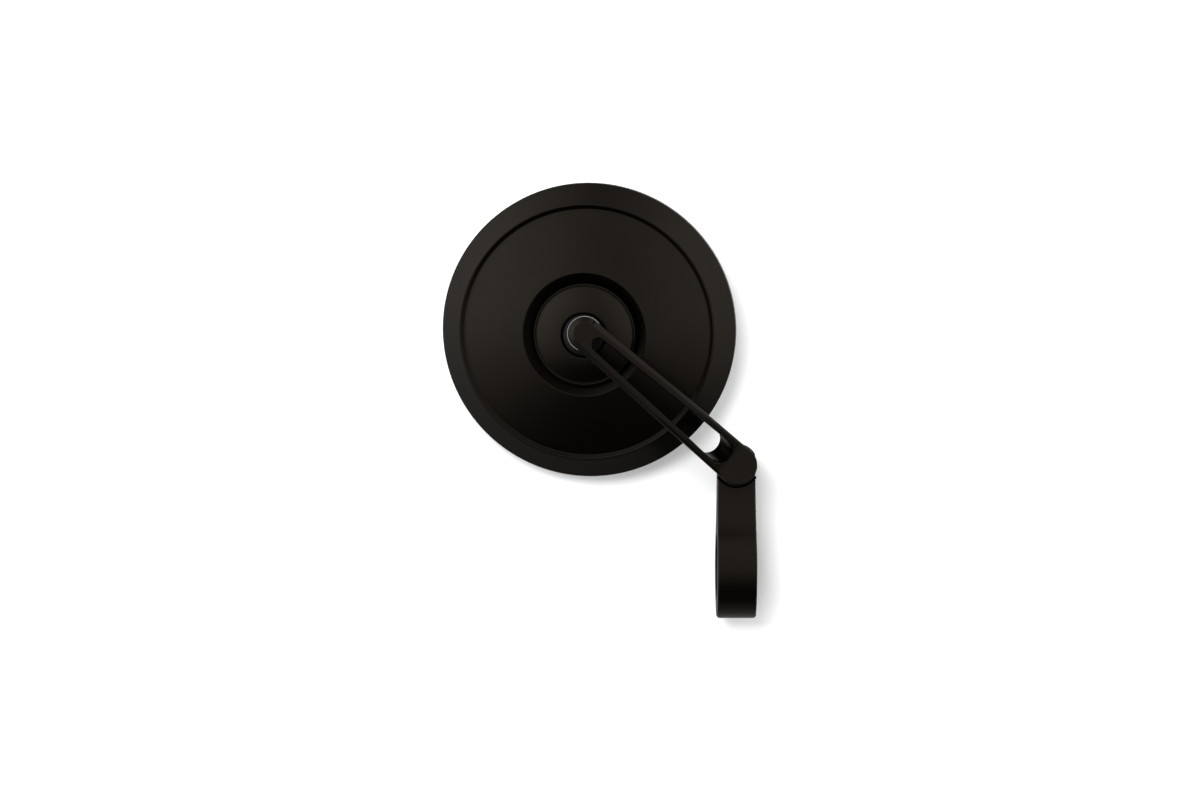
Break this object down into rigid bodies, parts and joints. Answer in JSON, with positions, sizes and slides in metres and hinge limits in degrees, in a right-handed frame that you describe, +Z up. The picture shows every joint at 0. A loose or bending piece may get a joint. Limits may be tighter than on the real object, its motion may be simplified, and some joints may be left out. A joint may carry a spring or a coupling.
{
  "type": "motorcycle bar end mirror",
  "caption": "Round rear-view mirror for a motorcycle's handlebar end: split bar clamp, slotted arm that swings, and a stepped round head on a ball joint.",
  "frame": {"origin": "middle of the clamp's bore, on the handlebar's axis", "axes": "+X along the handlebar, towards its end; -Y forward, the way the head's stepped back faces; +Z up"},
  "size_m": [0.1028, 0.0462, 0.1427],
  "materials": {
    "black_anodised": "satin black anodised, fine bead blast",
    "black_steel": "black oxide",
    "steel": "turned stainless steel",
    "polished_steel": "polished stainless steel",
    "black_nylon": "moulded, matt",
    "black_rubber": "matt",
    "mirror": "silvered convex glass"
  },
  "bodies": {
    "bar_mount": {"clamp": "black_anodised", "clamp_screw": "black_steel", "screw_washer": "steel", "friction_washer": "black_nylon"},
    "mirror_arm": {"arm": "black_anodised", "foot_insert": "steel", "stud_washer": "polished_steel", "ball_stud": "steel"},
    "front_shell": {"front_liner": "black_nylon"},
    "rear_shell": {"rear_liner": "black_nylon"},
    "head": {"socket_cup": "steel", "disc_spring": "black_steel", "adjuster_ring": "steel", "joint_cover": "black_anodised", "cover_seal": "black_rubber", "cover_screws": "black_steel", "housing": "black_anodised", "glass_pad": "black_rubber", "glass_seal": "black_rubber", "mirror_glass": "mirror"}
  },
  "joints": [
    {"name": "arm_swing", "type": "hinge", "parent": "bar_mount", "child": "mirror_arm", "pos_m": [0, -0.0065, 0.0333], "axis": [0, 1, 0], "range_deg": [-8, 106]},
    {"name": "head_nod", "type": "hinge", "parent": "mirror_arm", "child": "front_shell", "pos_m": [-0.04951, -0.0104, 0.07588], "axis": [0.6521, 0, 0.7581], "range_deg": [-12, 12]},
    {"name": "head_roll", "type": "hinge", "parent": "front_shell", "child": "rear_shell", "pos_m": [-0.04951, -0.0104, 0.07588], "axis": [0.7581, 0, -0.6521], "range_deg": [-21, 3]},
    {"name": "head_spin", "type": "hinge", "parent": "rear_shell", "child": "head", "pos_m": [-0.04951, -0.0104, 0.07588], "axis": [-0.102, -0.9877, -0.1186], "continuous": true}
  ]
}
